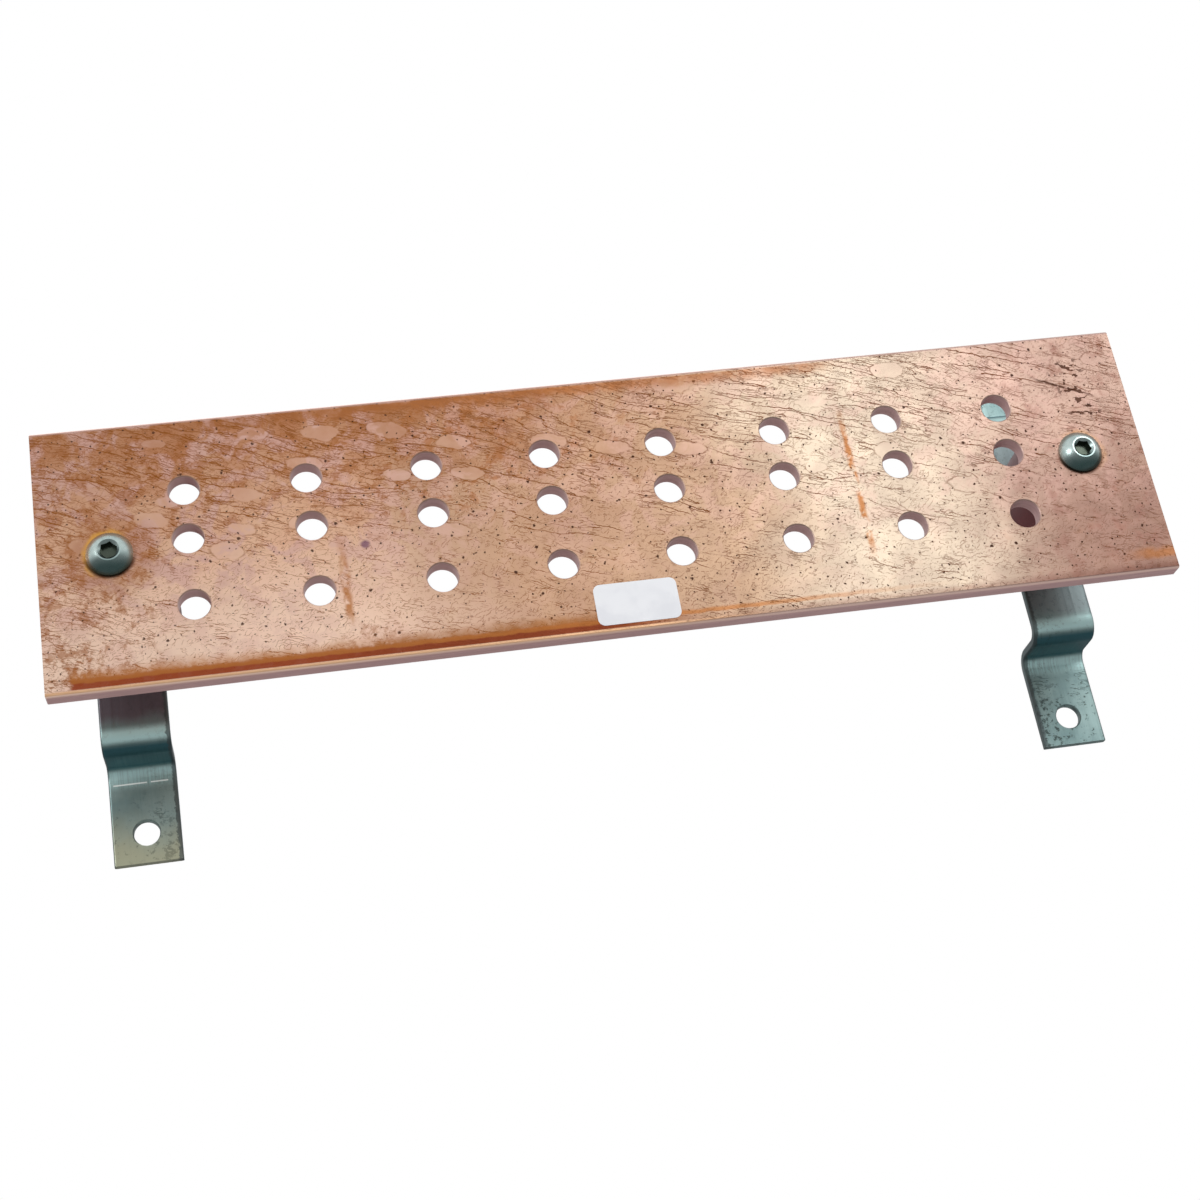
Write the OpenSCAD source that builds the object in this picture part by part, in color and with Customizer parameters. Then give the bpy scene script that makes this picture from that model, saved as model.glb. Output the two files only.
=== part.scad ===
// Rack grounding busbar: a drilled copper bar held off the wall by two insulators,
// each on its own hat-shaped steel bracket.
// X runs along the bar, Y points back to the wall, Z points up.
// The origin lies on the wall plane, behind the middle of the bar.

/* [Bar] */
// Length of the copper bar
bar_len = 406.4; // [396:0.1:610]
// Height of the copper bar
bar_h = 101.6; // [94:0.1:152.4]
// Thickness of the copper bar
bar_t = 6.35; // [4.8:0.05:12.7]
// Radius of the rolled long edges of the bar
bar_edge_r = 1.3; // [0.3:0.1:2]
// Radius of the four sawn corners of the bar
bar_corner_r = 1; // [0.4:0.1:4]
// Distance from each end of the bar to its fixing screw
screw_inset = 24.8; // [18:0.1:34]

/* [Lug holes] */
// Number of columns of lug holes
columns = 8; // [2:1:8]
// Distance from each end of the bar to the nearest column
column_inset = 52.07; // [50:0.01:80]
// Distance from the lower row to the middle row
wide_spacing = 25.4; // [20:0.01:27]
// Distance from the middle row to the upper row
narrow_spacing = 19.05; // [15.8:0.01:20]
// Diameter of a lug hole
lug_hole_d = 11.11; // [8:0.01:12]
// Size of the broken edge round a lug hole
hole_break = 0.35; // [0.1:0.05:0.6]

/* [Fixing screws] */
// Diameter of the button head
head_d = 16.3; // [15:0.1:19]
// Height of the button head
head_h = 5; // [3.6:0.1:6]
// Height of the straight rim under the dome
head_rim = 1; // [0.3:0.1:1.2]
// Diameter of the flat on top of the dome
head_top_d = 8.6; // [8.2:0.1:10]
// Width across flats of the hexagon socket
socket_af = 5.56; // [4.5:0.01:6]
// Depth of the hexagon socket
socket_depth = 3.2; // [2:0.1:3.4]
// Diameter of the bevel at the socket's mouth
socket_mouth_d = 7.6; // [7:0.1:8]
// How far the left socket is turned
left_socket_turn = 17; // [-30:1:30]
// How far the right socket is turned
right_socket_turn = -12; // [-30:1:30]
// Outer diameter of the thread
thread_d = 9.525; // [7:0.005:9.8]
// Depth that each fixing screw reaches into its insert
screw_bite = 12.7; // [8:0.1:13.5]
// Diameter of the clearance holes for the screws
clear_hole_d = 10.3; // [10:0.1:11.5]

/* [Insulators] */
// Height of an insulator, from the bracket to the bar
insulator_h = 50.8; // [40:0.1:64]
// Diameter of an insulator
insulator_d = 41.3; // [30:0.1:42]
// Radius of the moulded edges of an insulator
insulator_edge_r = 1.6; // [0.5:0.1:4]
// Diameter of a threaded insert
insert_d = 15.9; // [13:0.1:20]
// Length of a threaded insert
insert_len = 17.5; // [16:0.1:19]
// Depth of the retaining groove round an insert
groove_depth = 1; // [0.4:0.1:1.2]
// Width of the retaining groove round an insert
groove_w = 4; // [2:0.1:6]
// Depth of the drilled hole in an insert
insert_bore_depth = 15; // [14:0.1:15.5]
// Gap between a screw and the insert round it
thread_gap = 0.05; // [0.02:0.01:0.1]

/* [Brackets] */
// Width of the bracket's flat strip
strip_w = 25; // [22:0.1:32]
// Thickness of the bracket's flat strip
strip_t = 3.175; // [2.5:0.025:4]
// Radius of the strip's rolled edges
strip_edge_r = 0.8; // [0.3:0.1:1.2]
// Radius on the inside of each bend
bend_r = 4; // [2.5:0.1:5]
// Height of the hat, over the outsides of its two webs
hat_span = 101.6; // [80:0.1:110]
// Distance from the back of the hat's middle to the wall
hat_depth = 20.6; // [17:0.1:30]
// Overall height of the bracket
bracket_h = 175; // [170:0.1:220]
// Distance from each end of the bracket to its wall hole
wall_hole_inset = 11.3; // [9:0.1:16]
// Diameter of a wall hole
wall_hole_d = 9.525; // [7:0.005:11]

/* [Bracket bolts] */
// Width across flats of the bolt's head
bolt_af = 14.29; // [13:0.01:16]
// Height of the bolt's head
bolt_head_h = 6.2; // [5:0.1:7]
// Depth that each bolt reaches into its insert
bolt_bite = 10.3; // [7:0.1:13]
// Outer diameter of the lock washer
washer_d = 17.2; // [15:0.1:19]
// Thickness of the lock washer
washer_t = 2.4; // [1.6:0.1:3]
// Width of the split in the lock washer
washer_split = 0.8; // [0.4:0.1:1.5]

/* [Label] */
// Width of the label
label_w = 30; // [18:0.1:60]
// Height of the label
label_h = 15.7; // [10:0.1:16]
// Thickness of the label
label_t = 0.15; // [0.1:0.05:0.4]
// Radius of the label's corners
label_corner_r = 2.6; // [0.5:0.1:4]
// Distance from the middle of the bar to the middle of the label
label_x = 1.9; // [-60:0.1:60]
// Distance from the bar's lower edge to the label
label_rise = 3.2; // [2:0.1:3.5]

/* [Hidden] */
$fn = 96;
LEFT = -1;
RIGHT = 1;
// Cuts run this far past the faces they open
past = 1;

screw_x = bar_len / 2 - screw_inset;
screw_len = bar_t + screw_bite;
bolt_len = strip_t + washer_t + bolt_bite;
shank_d = thread_d - 2 * thread_gap;
shank_point = 0.8;
thread_mouth = 0.7;

// Planes square to Y, from the wall forwards
hat_back_y = -hat_depth;
hat_front_y = hat_back_y - strip_t;
bar_back_y = hat_front_y - insulator_h;
bar_front_y = bar_back_y - bar_t;

// Columns evenly spaced between the two fixing screws
column_pitch = (bar_len - 2 * column_inset) / (columns - 1);

// Heights of the three rows, as a group in the middle of the bar
low_row_z = -(wide_spacing + narrow_spacing) / 2;
rows_z = [low_row_z, low_row_z + wide_spacing, low_row_z + wide_spacing + narrow_spacing];

// Centres of the bends in the upper half of a bracket
crown_y = hat_back_y + bend_r;
crown_z = hat_span / 2 - strip_t - bend_r;
ankle_y = -strip_t - bend_r;
ankle_z = hat_span / 2 + bend_r;
web_len = ankle_y - crown_y;
wall_hole_z = bracket_h / 2 - wall_hole_inset;
wall_hole_break = 0.4;

// Height of the centre of the sphere that forms the button head's dome
dome_z = (pow(head_top_d / 2, 2) + pow(head_h, 2) - pow(head_d / 2, 2) - pow(head_rim, 2))
    / (2 * (head_h - head_rim));
dome_r = sqrt(pow(head_d / 2, 2) + pow(head_rim - dome_z, 2));
socket_bevel = (socket_mouth_d - socket_af) / 2;

// ---- Shared shapes ----

// Rectangle from the origin, with round corners
module round_rect(w, h, r) {
    translate([r, 0]) square([w - 2 * r, h]);
    translate([0, r]) square([w, h - 2 * r]);
    for (x = [r, w - r], y = [r, h - r])
        translate([x, y]) circle(r);
}

// Hole along +Z through a plate of thickness t, with both its edges broken
module broken_hole(d, t, edge) {
    translate([0, 0, -past]) cylinder(d = d, h = t + 2 * past);
    translate([0, 0, -past]) cylinder(d1 = d + 2 * (edge + past), d2 = d, h = edge + past);
    translate([0, 0, t - edge]) cylinder(d1 = d, d2 = d + 2 * (edge + past), h = edge + past);
}

// Screw shank from the origin along +Z, with a bevelled point
module shank(len) {
    cylinder(d = shank_d, h = len - shank_point);
    translate([0, 0, len - shank_point])
        cylinder(d1 = shank_d, d2 = shank_d - 2 * shank_point, h = shank_point);
}

// Turns +Z to face the wall, at one end's screw line
module towards_wall(side, y) {
    translate([side * screw_x, y, 0]) rotate([-90, 0, 0]) children();
}

// Turns +Z to face the front, at one end's screw line
module towards_front(side, y) {
    translate([side * screw_x, y, 0]) rotate([90, 0, 0]) children();
}

// ---- Bar and label ----

module bar_blank() {
    intersection() {
        translate([-bar_len / 2, bar_front_y, -bar_h / 2]) rotate([90, 0, 90])
            linear_extrude(bar_len) round_rect(bar_t, bar_h, bar_edge_r);
        translate([-bar_len / 2, bar_back_y + past, -bar_h / 2]) rotate([90, 0, 0])
            linear_extrude(bar_t + 2 * past) round_rect(bar_len, bar_h, bar_corner_r);
    }
}

module busbar() {
    color("#c98f6b")
    difference() {
        bar_blank();
        for (column = [0 : columns - 1], z = rows_z)
            translate([column_inset - bar_len / 2 + column * column_pitch, bar_front_y, z])
                rotate([-90, 0, 0]) broken_hole(lug_hole_d, bar_t, hole_break);
        for (side = [LEFT, RIGHT])
            towards_wall(side, bar_front_y) broken_hole(clear_hole_d, bar_t, hole_break);
    }
}

module label() {
    color("#eef0f2")
    translate([label_x - label_w / 2, bar_front_y, label_rise - bar_h / 2])
        rotate([90, 0, 0]) linear_extrude(label_t) round_rect(label_w, label_h, label_corner_r);
}

// ---- Fixing screws at the front ----

module button_head(turn) {
    difference() {
        intersection() {
            cylinder(d = head_d, h = head_h);
            translate([0, 0, dome_z]) sphere(dome_r);
        }
        translate([0, 0, head_h - socket_depth]) rotate([0, 0, turn])
            cylinder(d = socket_af / cos(30), h = socket_depth + past, $fn = 6);
        translate([0, 0, head_h - socket_bevel])
            cylinder(d1 = socket_af, d2 = socket_mouth_d, h = socket_bevel);
        translate([0, 0, head_h]) cylinder(d = socket_mouth_d, h = past);
    }
}

module bar_screw(side, turn) {
    color("#8f9a98") {
        towards_front(side, bar_front_y) button_head(turn);
        towards_wall(side, bar_front_y) shank(screw_len);
    }
}

// ---- Insulators and their threaded inserts ----

// Outside of an insert: its face at the origin, its body along +Z
module insert_form() {
    difference() {
        cylinder(d = insert_d, h = insert_len);
        translate([0, 0, (insert_len - groove_w) / 2]) difference() {
            cylinder(d = insert_d + 2 * past, h = groove_w);
            cylinder(d = insert_d - 2 * groove_depth, h = groove_w);
        }
    }
}

module threaded_insert() {
    color("#c9a24d")
    difference() {
        insert_form();
        translate([0, 0, -past]) cylinder(d = thread_d, h = insert_bore_depth + past);
        translate([0, 0, -past])
            cylinder(d1 = thread_d + 2 * (thread_mouth + past), d2 = thread_d, h = thread_mouth + past);
    }
}

module insulator(side) {
    color("#6e2326")
    difference() {
        towards_wall(side, bar_back_y) rotate_extrude() intersection() {
            translate([-insulator_d / 2, 0])
                round_rect(insulator_d, insulator_h, insulator_edge_r);
            square([insulator_d, insulator_h]);
        }
        towards_wall(side, bar_back_y) insert_form();
        towards_front(side, hat_front_y) insert_form();
    }
}

// ---- Brackets ----

// Strip's cross-section: thickness along X from bend_r outwards, width across Y
module strip_section(x) {
    translate([x, -strip_w / 2]) round_rect(strip_t, strip_w, strip_edge_r);
}

// Bend between two flats: its end faces lie at the origin's X and Y planes
module strip_bend() {
    rotate_extrude(angle = 90) strip_section(bend_r);
}

// Upper half of a bracket, drawn with X to the wall, Y up and its width along Z.
// Neighbouring flats run into each other by the length of a cut.
module half_bracket() {
    translate([crown_y, crown_z, 0]) {
        mirror([1, 0, 0]) rotate([90, 0, 0]) linear_extrude(crown_z + past) strip_section(bend_r);
        rotate([0, 0, 90]) strip_bend();
        rotate([90, 0, 90]) linear_extrude((web_len + past) / 2) strip_section(bend_r);
    }
    translate([ankle_y, ankle_z, 0]) {
        rotate([90, 0, -90]) linear_extrude((web_len + past) / 2) strip_section(bend_r);
        rotate([0, 0, -90]) strip_bend();
        rotate([-90, 0, 0]) linear_extrude(bracket_h / 2 - ankle_z) strip_section(bend_r);
    }
}

module bracket(side) {
    color("#7f8b88")
    difference() {
        translate([side * screw_x, 0, 0]) rotate([90, 0, 90]) {
            half_bracket();
            mirror([0, 1, 0]) half_bracket();
        }
        towards_wall(side, hat_front_y) broken_hole(clear_hole_d, strip_t, wall_hole_break);
        for (end = [-1, 1])
            translate([side * screw_x, -strip_t, end * wall_hole_z])
                rotate([-90, 0, 0]) broken_hole(wall_hole_d, strip_t, wall_hole_break);
    }
}

// ---- Bolts and lock washers behind the brackets ----

module hex_head() {
    intersection() {
        cylinder(d = bolt_af / cos(30), h = bolt_head_h, $fn = 6);
        cylinder(d1 = bolt_af + 4 * bolt_head_h, d2 = bolt_af * 0.96, h = bolt_head_h);
    }
}

module bracket_bolt(side) {
    color("#8f9a98") {
        towards_wall(side, hat_back_y + washer_t) hex_head();
        towards_front(side, hat_back_y + washer_t) shank(bolt_len);
    }
}

module lock_washer(side) {
    color("#7d8583")
    towards_wall(side, hat_back_y) difference() {
        cylinder(d = washer_d, h = washer_t);
        translate([0, 0, -past]) cylinder(d = clear_hole_d, h = washer_t + 2 * past);
        rotate([20, 0, 0]) translate([0, -washer_split / 2, -washer_t])
            cube([washer_d, washer_split, 4 * washer_t]);
    }
}

busbar();
label();
bar_screw(LEFT, left_socket_turn);  // left_bar_screw
bar_screw(RIGHT, right_socket_turn);  // right_bar_screw
insulator(LEFT);  // left_insulator
insulator(RIGHT);  // right_insulator
towards_wall(LEFT, bar_back_y) threaded_insert();  // left_front_insert
towards_wall(RIGHT, bar_back_y) threaded_insert();  // right_front_insert
towards_front(LEFT, hat_front_y) threaded_insert();  // left_rear_insert
towards_front(RIGHT, hat_front_y) threaded_insert();  // right_rear_insert
bracket(LEFT);  // left_bracket
bracket(RIGHT);  // right_bracket
bracket_bolt(LEFT);  // left_bracket_bolt
bracket_bolt(RIGHT);  // right_bracket_bolt
lock_washer(LEFT);  // left_lock_washer
lock_washer(RIGHT);  // right_lock_washer
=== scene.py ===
import math

import bpy
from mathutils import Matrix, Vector


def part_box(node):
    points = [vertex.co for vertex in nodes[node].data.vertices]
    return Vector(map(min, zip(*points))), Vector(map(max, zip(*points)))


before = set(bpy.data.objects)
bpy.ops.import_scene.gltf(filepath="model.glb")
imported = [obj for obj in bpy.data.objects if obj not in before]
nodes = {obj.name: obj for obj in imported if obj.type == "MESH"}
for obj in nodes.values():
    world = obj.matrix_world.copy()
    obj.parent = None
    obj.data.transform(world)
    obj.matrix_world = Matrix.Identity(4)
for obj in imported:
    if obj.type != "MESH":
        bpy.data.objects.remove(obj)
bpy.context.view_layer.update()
barLow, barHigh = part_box("busbar")
screwLow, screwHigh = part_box("right_bar_screw")
screwX = (screwLow.x + screwHigh.x) / 2  # both screws lie this far from the middle
print("frame loaded:", len(nodes), "nodes")


def feed(tree, socket, value):
    if isinstance(value, bpy.types.NodeSocket):
        tree.links.new(value, socket)
    elif socket.type == "RGBA" and len(value) == 3:
        socket.default_value = (*value, 1)
    else:
        socket.default_value = value


def addNode(tree, kind, inputs=None, **settings):
    node = tree.nodes.new("ShaderNode" + kind)
    for name, value in settings.items():
        setattr(node, name, value)
    for key, value in (inputs or {}).items():
        feed(tree, node.inputs[key], value)
    return node


def calc(tree, operation, *values):
    node = addNode(tree, "Math", operation=operation)
    for index, value in enumerate(values):
        feed(tree, node.inputs[index], value)
    return node.outputs[0]


def chain(tree, operation, first, *others):
    for value in others:
        first = calc(tree, operation, first, value)
    return first


def times(tree, *values):
    return chain(tree, "MULTIPLY", *values)


def plus(tree, *values):
    return chain(tree, "ADD", *values)


def most(tree, *values):
    return chain(tree, "MAXIMUM", *values)


def minus(tree, value, taken):
    return calc(tree, "SUBTRACT", value, taken)


def away(tree, value, amount):
    # turns a value from 0 to 1 into one that swings half the amount to either side
    return times(tree, minus(tree, value, 0.5), amount)


def far(tree, value, place):
    return calc(tree, "ABSOLUTE", minus(tree, value, place))


def radiusOf(tree, across, height):
    return calc(tree, "SQRT", plus(tree, times(tree, across, across), times(tree, height, height)))


def ramp(tree, value, low, high, toLow=0.0, toHigh=1.0):
    # soft step from low to high
    node = addNode(tree, "MapRange", {"Value": value, "From Min": low, "From Max": high,
                                      "To Min": toLow, "To Max": toHigh}, interpolation_type="SMOOTHSTEP")
    return node.outputs["Result"]


def band(tree, value, start, full, fade, end):
    # rises from start to full, falls from fade to end
    return times(tree, ramp(tree, value, start, full), ramp(tree, value, fade, end, 1, 0))


def tint(tree, amount, under, over, strength=None, blend="MIX"):
    if strength is not None:
        amount = times(tree, amount, strength)
    node = addNode(tree, "Mix", data_type="RGBA", blend_type=blend)
    feed(tree, node.inputs[0], amount)
    feed(tree, node.inputs[6], under)
    feed(tree, node.inputs[7], over)
    return node.outputs[2]


def vectorCalc(tree, operation, vector, other):
    return addNode(tree, "VectorMath", {0: vector, 1: other}, operation=operation).outputs[0]


def stretch(tree, vector, scale):
    return vectorCalc(tree, "MULTIPLY", vector, scale)


def shift(tree, vector, offset):
    return vectorCalc(tree, "ADD", vector, offset)


def turnFlat(tree, vector, angle):
    return addNode(tree, "VectorRotate", {"Vector": vector, "Angle": angle}, rotation_type="Z_AXIS").outputs[0]


def split(tree, vector):
    return addNode(tree, "SeparateXYZ", {0: vector}).outputs


def join(tree, **parts):
    return addNode(tree, "CombineXYZ", parts).outputs[0]


def noise(tree, vector, scale, detail=2.0, rough=0.5, twist=0.0):
    node = addNode(tree, "TexNoise", {"Vector": vector, "Scale": scale, "Detail": detail,
                                      "Roughness": rough, "Distortion": twist})
    return node.outputs["Fac"]


def cells(tree, vector, scale):
    # distance from the middle of each cell, and chances that differ from cell to cell
    pattern = addNode(tree, "TexVoronoi", {"Vector": vector, "Scale": scale}, voronoi_dimensions="2D").outputs
    return pattern["Distance"], addNode(tree, "SeparateColor", {"Color": pattern["Color"]}).outputs


def newGroup(name, inputs, outputs):
    group = bpy.data.node_groups.new(name, "ShaderNodeTree")
    for label, kind, value in inputs:
        socket = group.interface.new_socket(label, in_out="INPUT", socket_type="NodeSocket" + kind)
        if value is not None:
            socket.default_value = value
    for label in outputs:
        group.interface.new_socket(label, in_out="OUTPUT", socket_type="NodeSocketFloat")
    return group, group.nodes.new("NodeGroupInput").outputs, group.nodes.new("NodeGroupOutput").inputs


def useGroup(tree, group, **values):
    node = tree.nodes.new("ShaderNodeGroup")
    node.node_tree = group
    for name, value in values.items():
        feed(tree, node.inputs[name], value)
    return node.outputs


flow = {"driftScale": 17.0, "shakeScale": 300.0, "step": 0.04, "leastSlope": 0.0004, "leastTaper": 0.05,
        "fullTaper": 0.45, "solidPart": 0.45}


def makeFlowGroup():
    # wavering thin lines, like a liquid that ran and dried; taper from 0 to 1 thins and ends them
    group, given, made = newGroup("flowLines", [
        ("place", "Vector", None), ("turn", "Float", 0.0), ("fineness", "Float", 190.0),
        ("length", "Float", 8.0), ("waver", "Float", 0.015), ("jitter", "Float", 0.001),
        ("width", "Float", 0.0002), ("taper", "Float", 1.0)], ["lines"])
    fineness, taper = given["fineness"], given["taper"]
    turned = turnFlat(group, given["place"], given["turn"])
    push = plus(group, away(group, noise(group, turned, flow["driftScale"], detail=1.0), given["waver"]),
                away(group, noise(group, turned, flow["shakeScale"], detail=3.0, rough=0.6), given["jitter"]))
    squeeze = join(group, X=calc(group, "DIVIDE", fineness, given["length"]), Y=fineness, Z=fineness)
    here = stretch(group, shift(group, turned, join(group, Y=push)), squeeze)
    cloud = noise(group, here, 1.0)
    cloudBeside = noise(group, shift(group, here, (0, flow["step"], 0)), 1.0)
    slope = far(group, cloudBeside, cloud)
    # distance to the nearest place where the cloud passes its middle value
    off = calc(group, "DIVIDE", times(group, far(group, cloud, 0.5), flow["step"]),
               plus(group, slope, flow["leastSlope"]))
    reach = times(group, plus(group, taper, flow["leastTaper"]), given["width"], fineness)
    line = ramp(group, calc(group, "DIVIDE", off, reach), flow["solidPart"], 1.0, 1, 0)
    feed(group, made["lines"], times(group, line, ramp(group, taper, flow["leastTaper"], flow["fullTaper"])))
    return group


speck = {"shakeScale": 900.0, "shake": 0.0011, "smallest": 0.45, "solidPart": 0.5}


def makeSpeckGroup():
    # small uneven spots, in some cells only
    group, given, made = newGroup("specks", [
        ("place", "Vector", None), ("fineness", "Float", 300.0), ("size", "Float", 0.3),
        ("share", "Float", 0.4)], ["spots"])
    shake = addNode(group, "TexNoise", {"Vector": given["place"], "Scale": speck["shakeScale"],
                                        "Detail": 2.0}).outputs["Color"]
    centred = vectorCalc(group, "SUBTRACT", shake, (0.5, 0.5, 0.5))
    push = addNode(group, "VectorMath", {0: centred, "Scale": speck["shake"]}, operation="SCALE").outputs[0]
    distance, chance = cells(group, shift(group, given["place"], push), given["fineness"])
    radius = times(group, given["size"], ramp(group, chance[0], 0.0, 1.0, speck["smallest"], 1.0))
    spot = ramp(group, calc(group, "DIVIDE", distance, radius), speck["solidPart"], 1.0, 1, 0)
    feed(group, made["spots"], times(group, spot, calc(group, "LESS_THAN", chance[1], given["share"])))
    return group


def makeGrainGroup():
    # drawn or brushed lines that vary across one direction only, and soft clouds
    group, given, made = newGroup("metalGrain", [
        ("place", "Vector", None), ("across", "Vector", (1.0, 0.02, 0.02)), ("fineness", "Float", 1500.0)],
        ["lines", "clouds"])
    fine = stretch(group, given["place"], given["across"])
    feed(group, made["lines"], noise(group, fine, given["fineness"], detail=3.0, rough=0.6))
    feed(group, made["clouds"], noise(group, given["place"], 38.0, detail=4.0, rough=0.6))
    return group


flowGroup = makeFlowGroup()
speckGroup = makeSpeckGroup()
grainGroup = makeGrainGroup()


def newMaterial(name):
    material = bpy.data.materials.new(name)
    material.use_nodes = True
    tree = material.node_tree
    tree.nodes.clear()
    shader = tree.nodes.new("ShaderNodeBsdfPrincipled")
    out = tree.nodes.new("ShaderNodeOutputMaterial")
    tree.links.new(shader.outputs[0], out.inputs["Surface"])
    coords = tree.nodes.new("ShaderNodeTexCoord").outputs
    return material, tree, shader.inputs, coords


def addRoughness(tree, shader, pattern, least, greatest):
    feed(tree, shader["Roughness"], ramp(tree, pattern, 0.2, 0.8, least, greatest))


def addBump(tree, shader, height, depth):
    bump = addNode(tree, "Bump", {"Height": height, "Distance": depth})
    feed(tree, shader["Normal"], bump.outputs[0])


def dress(material, *names):
    for name in names:
        nodes[name].data.materials.clear()
        nodes[name].data.materials.append(material)


# the copper bar; a place along it counts from its left end and a height from its lower edge, in metres,
# and a pair tells where a tone or a mark starts and where it is full
copper = {
    # tones of the metal; the bright tone is paler copper, partly a painted highlight
    "left": (0.68, 0.415, 0.275), "middle": (0.485, 0.298, 0.190), "middleFrom": (0.09, 0.13),
    "shaded": (0.475, 0.315, 0.208), "shadedFrom": (0.18, 0.23), "bright": (0.605, 0.495, 0.38),
    "brightFrom": (0.235, 0.295), "right": (0.52, 0.355, 0.285), "rightFrom": (0.305, 0.385),
    "rightLow": (0.32, 0.19, 0.145), "rightHeight": (0.018, 0.088), "lowLeft": (0.84, 0.61, 0.475),
    "lowLeftHeight": (0.062, 0.012), "lowLeftTo": (0.18, 0.07), "lilac": (0.62, 0.385, 0.33),
    "lilacTo": (0.18, 0.06), "lilacHeight": (0.015, 0.045), "dusk": (0.33, 0.17, 0.13),
    "duskFrom": (0.33, 0.385), "mottleTint": (1.12, 1.06, 1.10), "wash": (0.37, 0.135, 0.045),
    "washHeight": (0.045, 0.105), "leftSideTo": (0.29, 0.12), "stray": 0.10, "rearShift": 7.0,
    # dried drops
    "drop": (0.70, 0.46, 0.39), "dropAngle": 9, "dropStretch": (0.46, 1, 1), "dropScale": 82.0,
    "dropSizes": (0.16, 0.30), "dropUneven": 0.30, "dropsLeftOut": 0.70, "dropHeight": (0.028, 0.050),
    # lines of liquid
    "runLeft": (0.26, 0.078, 0.008), "runRight": (0.20, 0.062, 0.018), "runHeight": (0.025, 0.085),
    "leftEndTo": (0.065, 0.015), "rightRunsFrom": (0.32, 0.38), "calmFrom": (0.20, 0.30),
    "fineFrom": (0.20, 0.28), "dashStrength": 0.72, "crumbStrength": 0.62, "besidePatch": (0.3, 0.2, 0.0),
    "longRuns": {"turn": math.radians(19), "fineness": 200.0, "length": 9.0, "waver": 0.018, "jitter": 0.0019},
    "longWidths": (0.00028, 0.00021), "longWidthFrom": (0.08, 0.22),
    "fineRuns": {"turn": math.radians(23), "fineness": 400.0, "length": 6.0, "waver": 0.020, "jitter": 0.0020,
                 "width": 0.00020},
    "dashes": {"turn": math.radians(10), "fineness": 720.0, "length": 3.0, "waver": 0.012, "jitter": 0.0016,
               "width": 0.00020},
    "crumbs": {"turn": math.radians(-38), "fineness": 560.0, "length": 1.7, "waver": 0.006, "jitter": 0.0016,
               "width": 0.00018},
    # dark specks; the same colour serves for the painted shadow below each screw head
    "speck": (0.06, 0.02, 0.01), "smallSpecks": {"fineness": 330.0, "size": 0.15, "share": 0.40},
    "largeSpecks": {"fineness": 115.0, "size": 0.085, "share": 0.40},
    # stains along the edges
    "orange": (0.44, 0.158, 0.034), "rust": (0.28, 0.045, 0.012), "gold": (0.72, 0.44, 0.26),
    "ragged": 0.0042, "sway": 0.003, "stainFrom": (0.0075, 0.0095), "stainTo": (0.235, 0.19),
    "threadTo": (0.335, 0.24), "fringeHeight": (0.0105, 0.0050), "coreHeight": (0.0062, 0.0046),
    "threadHeights": (0.0036, 0.0044, 0.0050, 0.0062), "smearHeights": (0.0045, 0.0065, 0.0075, 0.0105),
    "smearFrom": (0.385, 0.398), "goldHeights": (0.0005, 0.0008, 0.0015, 0.0021), "goldTo": (0.26, 0.20),
    "tallPlaces": ((0.006, 0.009, 0.014, 0.020), (0.098, 0.106, 0.116, 0.124)), "tallHeight": (0.020, 0.008),
    "fringeFoot": (0.0016, 0.0024), "coreFoot": (0.0016, 0.0021), "tallFoot": (0.002, 0.004),
    "darkerTo": (0.08, 0.14), "topDepth": (0.0075, 0.0030), "topClear": (0.0012, 0.0020),
    "topFrom": (0.02, 0.12), "topTo": (0.300, 0.285), "topWeakFrom": (0.17, 0.24),
    # stains that ran straight down: place, lower end, upper end, half width
    "straightStains": ((0.1045, 0.010, 0.052, 0.0024), (0.294, 0.016, 0.084, 0.0017)),
    "straightCore": 0.0004, "straightFades": (0.012, 0.02),
    # round the fixing screws: a brown wash, a painted reflection of the head's rim as a yellow crescent and a
    # painted shadow below each head
    "headReflection": (0.72, 0.37, 0.07), "haloRadius": (0.0108, 0.0086), "washRadius": (0.021, 0.009),
    "shadowRadius": (0.0096, 0.0083), "haloSide": (-0.003, 0.006), "shadowSide": (0.001, -0.004),
    "fromMiddle": (-0.1, 0.1),
    # painted highlights and painted shade along the edges, a darker band along the lower edge of the right
    # part, and the walls of the holes with a painted highlight on the arris
    "edgeTone": (0.60, 0.40, 0.36), "bandTint": (0.66, 0.56, 0.56), "bandHeight": (0.0045, 0.0015),
    "bandFrom": (0.20, 0.26), "paleLine": (0.0016, 0.0008), "lowLine": (0.0013, 0.0006),
    "darkLine": (0.0006, 0.0003), "lowLineFrom": (0.19, 0.26), "darkLineTo": (0.26, 0.19),
    "edge": (0.60, 0.385, 0.38), "wall": (0.40, 0.235, 0.235), "arris": (0.82, 0.60, 0.52),
    # dark spots near the upper right corner, a long streak below them and a violet spot
    "blotPlace": 0.3985, "blotLean": 0.15, "blotHalfWidth": (0.009, 0.004),
    "blotHeights": (0.062, 0.068, 0.088, 0.093), "streakFall": 0.46, "streakPlace": 0.2553,
    "streakHalfWidth": (0.0008, 0.0003), "streakEnds": (0.370, 0.376, 0.389, 0.396),
    "violet": (0.14, 0.055, 0.12), "violetPlace": 0.113, "violetHeight": 0.0445,
    "violetRadius": (0.0022, 0.0008),
    # finish
    "roughness": (0.36, 0.48), "stainRoughness": 0.12, "specular": 0.2, "relief": 0.00003,
}


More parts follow.
